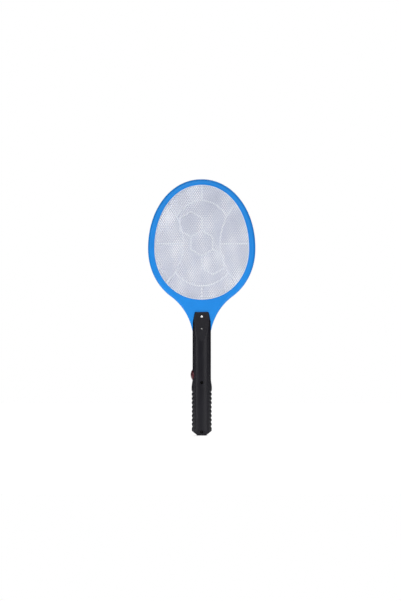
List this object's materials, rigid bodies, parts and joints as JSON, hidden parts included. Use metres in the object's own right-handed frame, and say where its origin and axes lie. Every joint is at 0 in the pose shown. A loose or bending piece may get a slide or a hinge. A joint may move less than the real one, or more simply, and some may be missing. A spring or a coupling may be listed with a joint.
{
  "type": "electric fly swatter",
  "caption": "Battery fly swatter shaped like a small racket: oval framed head with stacked metal nets over an insulating grille, ribbed straight handle, side push button.",
  "frame": {"origin": "middle of the grip on the handle's long axis, 50 mm above the butt end, where a hand holds it", "axes": "+Z from the butt up the handle to the head's tip, -Y the front face with the screws, +X to the right of the front face, away from the push button"},
  "size_m": [0.193, 0.027, 0.46],
  "materials": {
    "head_blue": "satin moulded plastic",
    "handle_black": "satin moulded plastic",
    "grille_white": "plain moulded plastic",
    "net_metal": "bare drawn mesh",
    "button_red": "satin moulded plastic",
    "screw_steel": "plated, cross recess",
    "contact_nickel": "nickel plated",
    "cell_jacket": "plain printed jacket",
    "board_laminate": "phenolic paper laminate",
    "ferrite": "matte ceramic",
    "winding_copper": "enamelled wire",
    "capacitor_brown": "dipped resin",
    "capacitor_blue": "dipped resin",
    "component_black": "moulded epoxy",
    "resistor_tan": "painted",
    "led_lens": "clear moulded epoxy",
    "plunger_white": "plain moulded plastic",
    "lead_red": "soft sleeve",
    "lead_black": "soft sleeve"
  },
  "bodies": {
    "racket": {"front_head_frame": "head_blue", "rear_head_frame": "head_blue", "front_guard_net": "net_metal", "live_net": "net_metal", "rear_guard_net": "net_metal", "front_insulating_grille": "grille_white", "rear_insulating_grille": "grille_white", "front_handle_shell": "handle_black", "rear_handle_shell": "handle_black", "neck_screw": "screw_steel", "middle_screw": "screw_steel", "butt_screw": "screw_steel", "upper_board_screw": "screw_steel", "lower_board_screw": "screw_steel", "left_cell": "cell_jacket", "right_cell": "cell_jacket", "bridge_contact": "contact_nickel", "positive_contact": "contact_nickel", "negative_contact": "contact_nickel", "lower_cell_spring": "contact_nickel", "upper_cell_spring": "contact_nickel", "push_switch_body": "component_black", "circuit_board": "board_laminate", "transformer_core": "ferrite", "transformer_coil": "winding_copper", "storage_capacitor": "capacitor_brown", "doubler_capacitor_1": "capacitor_blue", "doubler_capacitor_2": "capacitor_blue", "rectifier_diode_1": "component_black", "rectifier_diode_2": "component_black", "rectifier_diode_3": "component_black", "base_resistor": "resistor_tan", "led_resistor": "resistor_tan", "bleed_resistor": "resistor_tan", "oscillator_transistor": "component_black", "indicator_led": "led_lens", "live_lead": "lead_red", "guard_lead": "lead_black", "positive_battery_lead": "lead_red", "negative_battery_lead": "lead_black"},
    "battery_cover": {"battery_door": "handle_black"},
    "button": {"power_button": "button_red"},
    "plunger": {"push_switch_plunger": "plunger_white"}
  },
  "joints": [
    {"name": "power_button_press", "type": "slide", "parent": "racket", "child": "button", "axis": [1, 0, 0], "range_m": [0, 0.0018], "stiffness_N_per_m": 1000, "springref_m": -0.0005},
    {"name": "switch_plunger_press", "type": "slide", "parent": "racket", "child": "plunger", "axis": [1, 0, 0], "range_m": [0, 0.0018]},
    {"name": "battery_door_lift_off", "type": "slide", "parent": "racket", "child": "battery_cover", "axis": [0, 1, 0], "range_m": [0, 0.03]}
  ],
  "couplings": [
    {"joint": "switch_plunger_press", "follows": "power_button_press", "ratio": 1}
  ]
}
